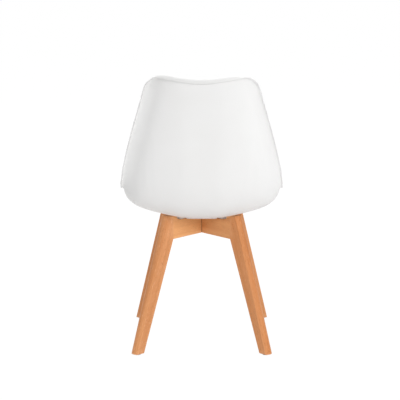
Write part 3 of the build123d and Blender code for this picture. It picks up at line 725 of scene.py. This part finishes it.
def make_cushion():
    """The CAD pad, shrunk a little and blown up again as cloth."""
    mesh = nodes["seat_cushion"].data.copy()
    merged = bmesh.new()
    merged.from_mesh(mesh)
    bmesh.ops.remove_doubles(merged, verts=merged.verts, dist=0.00002)
    merged.to_mesh(mesh)
    merged.free()
    piece = bpy.data.objects.new("seat_pad", mesh)
    scene.collection.objects.link(piece)
    remesh = piece.modifiers.new("remesh", "REMESH")
    remesh.mode = "VOXEL"
    remesh.voxel_size = PAD_CELL
    apply_modifiers(piece)
    start = coordinates(piece.data) - PAD_SHRINK * normals(piece.data)
    set_coordinates(piece.data, start)
    cloth = piece.modifiers.new("cloth", "CLOTH")
    cloth.settings.use_pressure = True
    cloth.settings.uniform_pressure_force = PAD_PRESSURE
    cloth.settings.effector_weights.gravity = 0.0
    cloth.settings.quality = 6
    cloth.collision_settings.use_collision = False
    cloth.point_cache.frame_start = 1
    cloth.point_cache.frame_end = PAD_FRAMES
    for number in range(1, PAD_FRAMES + 1):
        scene.frame_set(number)
    apply_modifiers(piece)
    scene.frame_set(1)
    moved = coordinates(piece.data) - start
    distance = np.linalg.norm(moved, axis=1, keepdims=True)
    moved *= np.minimum(1.0, PAD_CAP / np.maximum(distance, 1e-9))
    set_coordinates(piece.data, start + moved)
    return piece


def keep_clear(piece, tree, gap):
    """Push points back out of the shell and the board, to a small gap."""
    points = coordinates(piece.data)
    for number, point in enumerate(points):
        near, normal, _, distance = tree.find_nearest(Vector(point), 0.03)
        if near is None:
            continue
        above = (Vector(point) - near).dot(normal)
        if above < gap and distance < 0.02:
            points[number] = near + normal * gap
    set_coordinates(piece.data, points)


def ease_ring(line, times):
    """Smooth the points of a closed line."""
    for _ in range(times):
        line = 0.5 * line + 0.25 * (np.roll(line, 1, 0) + np.roll(line, -1, 0))
    return line


def seam_line(piece, count=120):
    """Closed line round the widest part of the pad, smoothed."""
    points = coordinates(piece.data)
    centre = (points.min(0) + points.max(0)) / 2
    flat = points - centre
    turn = np.arctan2(flat[:, 1], flat[:, 0])
    reach = np.hypot(flat[:, 0], flat[:, 1])
    line = []
    for number in range(count):
        angle = -math.pi + 2 * math.pi * (number + 0.5) / count
        away = np.abs((turn - angle + math.pi) % (2 * math.pi) - math.pi)
        near = np.where(away < 2.2 * math.pi / count)[0]
        outer = near[np.argsort(reach[near])[-6:]]
        line.append(points[outer].mean(0))
    return ease_ring(np.array(line), 3)


def tube(name, line, radius, material):
    """Closed smooth tube along a line, as a mesh."""
    curve = bpy.data.curves.new(name, "CURVE")
    curve.dimensions = "3D"
    curve.bevel_depth = radius
    curve.bevel_resolution = 4
    spline = curve.splines.new("NURBS")
    spline.points.add(len(line) - 1)
    for point, place in zip(spline.points, line):
        point.co = (*place, 1.0)
    spline.use_cyclic_u = True
    spline.order_u = 4
    spline.resolution_u = 4
    holder = bpy.data.objects.new(name + "_curve", curve)
    scene.collection.objects.link(holder)
    graph = bpy.context.evaluated_depsgraph_get()
    mesh = bpy.data.meshes.new_from_object(holder.evaluated_get(graph))
    bpy.data.objects.remove(holder)
    piece = bpy.data.objects.new(name, mesh)
    scene.collection.objects.link(piece)
    for polygon in mesh.polygons:
        polygon.use_smooth = True
    paint(piece, material)
    return piece


def stitch_mesh(bm, place, along, up, length, radius):
    """One stitch: a short rounded bar that dips into the cover at both ends."""
    side = along.cross(up).normalized()
    lengthwise, around = 6, 8
    rings = []
    for step in range(lengthwise + 1):
        share = step / lengthwise
        thick = radius * (0.35 + 0.65 * math.sin(math.pi * (0.08 + 0.84 * share)))
        lift = radius * (1.5 * math.sin(math.pi * share) - 0.75)
        centre = place + along * ((share - 0.5) * length) + up * lift
        ring = []
        for number in range(around):
            angle = 2 * math.pi * number / around
            away = side * (thick * math.cos(angle)) + up * (thick * math.sin(angle))
            ring.append(bm.verts.new(centre + away))
        rings.append(ring)
    for first, second in zip(rings, rings[1:]):
        for number in range(around):
            after = (number + 1) % around
            bm.faces.new((first[number], first[after], second[after], second[number]))
    bm.faces.new(list(reversed(rings[0])))
    bm.faces.new(rings[-1])


def evenly(line, gap):
    """Points spaced evenly round a closed line."""
    closed = np.vstack([line, line[:1]])
    steps = np.linalg.norm(np.diff(closed, axis=0), axis=1)
    total = np.concatenate([[0.0], np.cumsum(steps)])
    count = int(total[-1] / gap)
    marks = np.linspace(0.0, total[-1], count, endpoint=False)
    return np.stack([np.interp(marks, total, closed[:, axis]) for axis in range(3)], axis=1)


def pinch(piece, line):
    """Draw the pad in along its seam."""
    points, inward = coordinates(piece.data), normals(piece.data)
    for number, point in enumerate(points):
        apart = np.sqrt(((line - point) ** 2).sum(1)).min()
        depth = SEAM_PINCH * math.exp(-((apart / SEAM_WIDTH) ** 2))
        points[number] = point - inward[number] * depth
    set_coordinates(piece.data, points)


def make_stitches(pad_piece, tree, welt_path):
    """Row of stitches on the pad's top, a little inside the welt."""
    pad = coordinates(pad_piece.data)
    centre = Vector((0.0, float(pad[:, 1].min() + pad[:, 1].max()) / 2, 0.0))
    track = []
    for point in evenly(welt_path, 0.002):
        inner = Vector(point)
        toward = centre - inner
        toward.z = 0.0
        above = inner + toward.normalized() * STITCH_INSET + Vector((0.0, 0.0, 0.02))
        hit, _, _, _ = tree.ray_cast(above, Vector((0.0, 0.0, -1.0)))
        if hit is not None:
            track.append(np.array(hit))
    marks = evenly(ease_ring(np.array(track), 3), STITCH_GAP)
    rows = bmesh.new()
    for number, point in enumerate(marks):
        along = Vector(marks[(number + 1) % len(marks)] - marks[number - 1]).normalized()
        near, normal, _, _ = tree.find_nearest(Vector(point))
        stitch_mesh(rows, near, along, normal, STITCH_LENGTH, STITCH_RADIUS)
    mesh = bpy.data.meshes.new("cushion_stitches")
    rows.to_mesh(mesh)
    rows.free()
    for polygon in mesh.polygons:
        polygon.use_smooth = True
    piece = bpy.data.objects.new("cushion_stitches", mesh)
    scene.collection.objects.link(piece)
    paint(piece, thread)
    return piece


cushion = make_cushion()
seat_tree = joined_tree("seat_shell", "cushion_board")
welt_line = seam_line(cushion)
pinch(cushion, evenly(welt_line, 0.003))
keep_clear(cushion, seat_tree, CLEAR)
smoother = cushion.modifiers.new("finish", "SUBSURF")
smoother.levels = smoother.render_levels = 1
apply_modifiers(cushion)
keep_clear(cushion, seat_tree, CLEAR)
for polygon in cushion.data.polygons:
    polygon.use_smooth = True
paint(cushion, leather)
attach(cushion, "root")
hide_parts("seat_cushion")

cushion_tree = BVHTree.FromPolygons(
    [vertex.co.copy() for vertex in cushion.data.vertices],
    [list(polygon.vertices) for polygon in cushion.data.polygons],
)
seated = []
for point in evenly(welt_line, 0.008):
    near, normal, _, _ = cushion_tree.find_nearest(Vector(point))
    seated.append(np.array(near + normal * WELT_RADIUS * 0.7))
seated = ease_ring(np.array(seated), 2)
welt = tube("cushion_welt", seated, WELT_RADIUS, leather)
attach(welt, "root")

stitches = make_stitches(cushion, cushion_tree, seated)
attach(stitches, "root")


# ---------------------------------------------------------------- light and room
STUDIO_STRENGTH = 0.48
FLOOR_GLOW = 1.05
FLOOR_GLOW_SHARE = 0.92


def area_light(name, place, aim, size, power):
    """Soft white lamp at a place, turned to a point."""
    data = bpy.data.lights.new(name, "AREA")
    data.shape = "RECTANGLE"
    data.size, data.size_y = size
    data.energy = power
    lamp = bpy.data.objects.new(name, data)
    lamp.location = place
    lamp.rotation_euler = (Vector(aim) - Vector(place)).to_track_quat("-Z", "Y").to_euler()
    scene.collection.objects.link(lamp)


area_light("key", (-1.9, 3.2, 2.4), (0.0, 0.0, 0.45), (1.3, 1.3), 60.0)
area_light("fill", (2.6, 3.0, 1.4), (0.0, 0.0, 0.45), (2.4, 2.0), 8.0)
area_light("top", (0.0, 0.2, 3.4), (0.0, 0.0, 0.4), (2.2, 2.2), 39.0)
area_light("low", (-2.6, 2.6, 0.5), (0.0, 0.0, 0.35), (1.2, 0.7), 6.0)
area_light("front", (1.2, -3.2, 2.2), (0.0, 0.0, 0.45), (2.2, 2.0), 26.0)

def seen_directly(tree):
    """Socket that is 1 for camera, glossy and transmission rays and 0 for the light itself."""
    path = tree.nodes.new("ShaderNodeLightPath")
    seen = path.outputs["Is Camera Ray"]
    for ray in ("Is Glossy Ray", "Is Transmission Ray"):
        either = tree.nodes.new("ShaderNodeMath")
        either.operation = "MAXIMUM"
        tree.links.new(seen, either.inputs[0])
        tree.links.new(path.outputs[ray], either.inputs[1])
        seen = either.outputs[0]
    return seen


def mixed(tree, share, first, second, output):
    """Mix two shaders by a share and give the result to an output node."""
    mixer = tree.nodes.new("ShaderNodeMixShader")
    tree.links.new(share, mixer.inputs[0])
    tree.links.new(first.outputs[0], mixer.inputs[1])
    tree.links.new(second.outputs[0], mixer.inputs[2])
    tree.links.new(mixer.outputs[0], output.inputs["Surface"])


def background(tree, strength):
    node = tree.nodes.new("ShaderNodeBackground")
    node.inputs["Color"].default_value = (1.0, 1.0, 1.0, 1.0)
    node.inputs["Strength"].default_value = strength
    return node


def make_world():
    """Even white studio: it lights at STUDIO_STRENGTH and shows as plain white."""
    world = bpy.data.worlds.new("studio")
    scene.world = world
    world.use_nodes = True
    tree = world.node_tree
    tree.nodes.clear()
    output = tree.nodes.new("ShaderNodeOutputWorld")
    studio, white = background(tree, STUDIO_STRENGTH), background(tree, 1.0)
    mixed(tree, seen_directly(tree), studio, white, output)


def make_floor():
    """White studio floor: white to the camera and in reflections, with a soft faint shadow."""
    material = bpy.data.materials.new("studio_floor")
    material.use_nodes = True
    tree = material.node_tree
    tree.nodes.clear()
    output = tree.nodes.new("ShaderNodeOutputMaterial")
    diffuse = tree.nodes.new("ShaderNodeBsdfDiffuse")
    diffuse.inputs["Color"].default_value = (0.86, 0.86, 0.86, 1.0)
    glow = tree.nodes.new("ShaderNodeEmission")
    glow.inputs["Strength"].default_value = FLOOR_GLOW
    share = tree.nodes.new("ShaderNodeMath")
    share.operation = "MULTIPLY"
    share.inputs[1].default_value = FLOOR_GLOW_SHARE
    tree.links.new(seen_directly(tree), share.inputs[0])
    mixed(tree, share.outputs[0], diffuse, glow, output)
    return material


make_world()
bpy.ops.mesh.primitive_plane_add(size=30.0, location=(0.0, 0.0, 0.0))
floor = bpy.context.active_object
floor.name = "studio_floor"
floor.data.materials.append(make_floor())

scene.view_settings.view_transform = "Standard"
